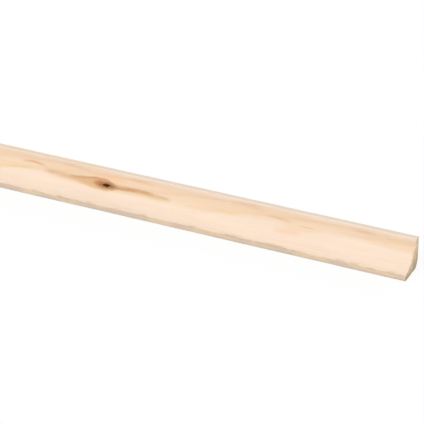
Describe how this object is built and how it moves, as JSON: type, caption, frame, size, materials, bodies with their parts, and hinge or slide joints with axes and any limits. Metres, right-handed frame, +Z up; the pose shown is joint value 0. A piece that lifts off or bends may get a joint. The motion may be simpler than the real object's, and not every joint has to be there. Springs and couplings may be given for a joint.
{
  "type": "wood cove batten",
  "caption": "Planed softwood batten in a square outline, with a hollow face between two flat lips and a bevelled back corner, used to trim an inside corner.",
  "frame": {"origin": "middle of the bottom of the batten's box, halfway along its length", "axes": "+X along the length, +Y out of the flat back face, +Z up from the flat bottom face; the hollow face looks up and towards -Y"},
  "size_m": [1, 0.018, 0.018],
  "materials": {
    "pine": "bare planed softwood with sawn ends"
  },
  "bodies": {
    "root": {"cove_batten": "pine"}
  },
  "joints": []
}
